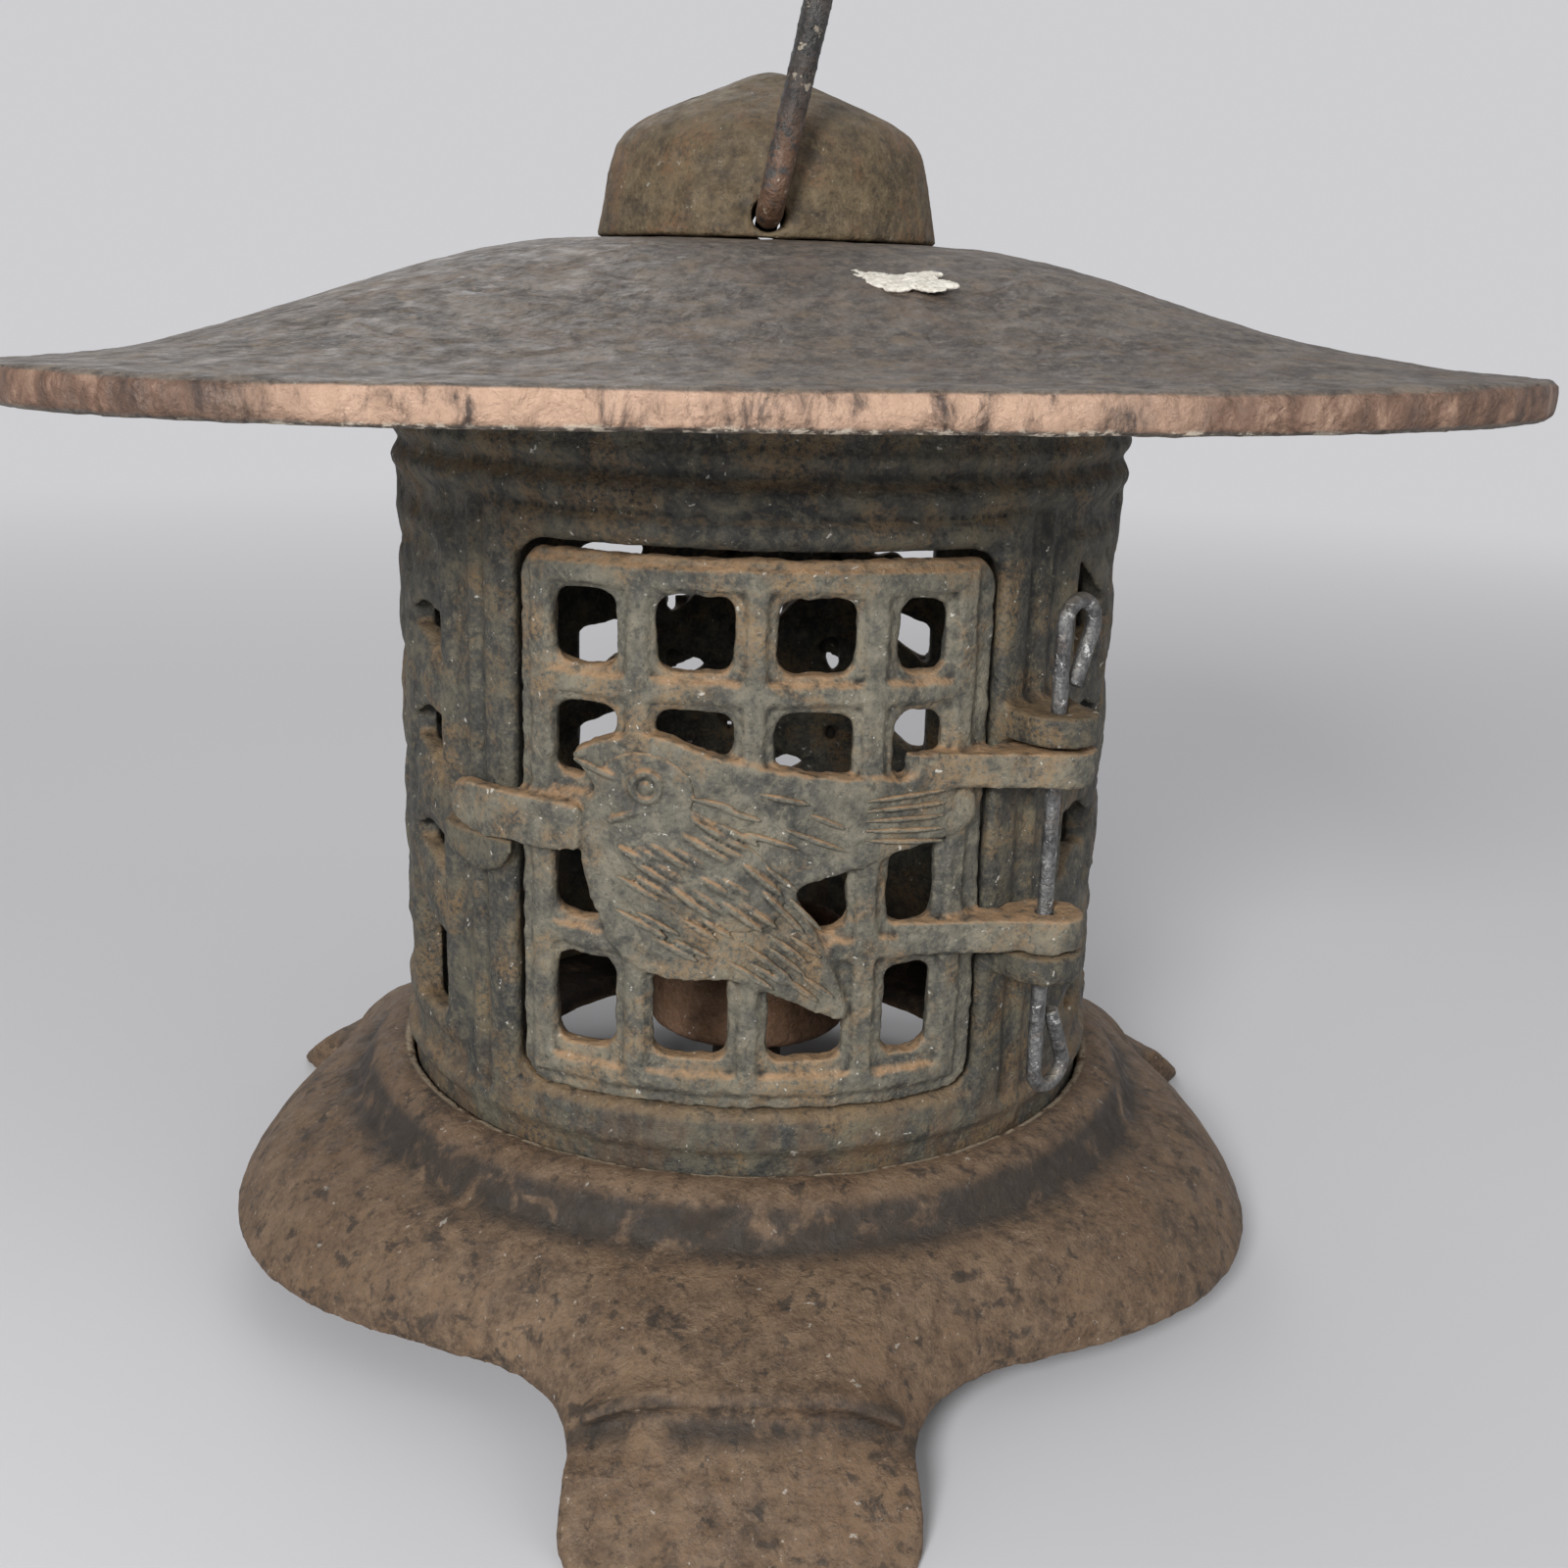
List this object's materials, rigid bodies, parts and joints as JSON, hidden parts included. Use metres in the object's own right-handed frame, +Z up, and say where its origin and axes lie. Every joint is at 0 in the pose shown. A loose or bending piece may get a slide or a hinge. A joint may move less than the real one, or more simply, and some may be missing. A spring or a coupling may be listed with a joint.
{
  "type": "pagoda lantern",
  "caption": "Weathered cast-iron pagoda candle lantern with flared square roof, footed base, pierced bamboo windows, hinged sparrow lattice door and wire bail.",
  "frame": {"origin": "on the surface it stands on, under the middle of the whole box", "axes": "+Z up, -Y towards the door, +X to the right of the door"},
  "size_m": [0.244, 0.252, 0.3043],
  "materials": {
    "base_iron": "weathered, rust brown",
    "body_iron": "weathered, slate grey",
    "door_iron": "weathered, slate and ochre",
    "roof_iron": "weathered, dark brown",
    "cap_iron": "weathered, olive brown",
    "cup_iron": "rusty",
    "pin_steel": "dull wire",
    "bail_paint": "worn black paint",
    "fastener_steel": "rusty"
  },
  "bodies": {
    "lantern": {"base": "base_iron", "body": "body_iron", "hinge_pin": "pin_steel", "roof": "roof_iron", "cap": "cap_iron", "candle_cup": "cup_iron", "candle_screw": "fastener_steel", "base_bolt_1": "fastener_steel", "base_bolt_2": "fastener_steel", "base_bolt_3": "fastener_steel", "base_nut_1": "fastener_steel", "base_nut_2": "fastener_steel", "base_nut_3": "fastener_steel", "roof_bolt_1": "fastener_steel", "roof_bolt_2": "fastener_steel", "roof_bolt_3": "fastener_steel", "roof_bolt_4": "fastener_steel", "cap_screw_1": "fastener_steel", "cap_screw_2": "fastener_steel"},
    "door_leaf": {"door": "door_iron"},
    "bail_handle": {"bail": "bail_paint"}
  },
  "joints": [
    {"name": "door_hinge", "type": "hinge", "parent": "lantern", "child": "door_leaf", "pos_m": [0.05212, -0.05471, 0.099], "axis": [0, 0, 1], "range_deg": [0, 150]},
    {"name": "bail_hinge", "type": "hinge", "parent": "lantern", "child": "bail_handle", "pos_m": [0, 0.00399, 0.205], "axis": [0, 1, 0], "range_deg": [-100, 76]}
  ]
}
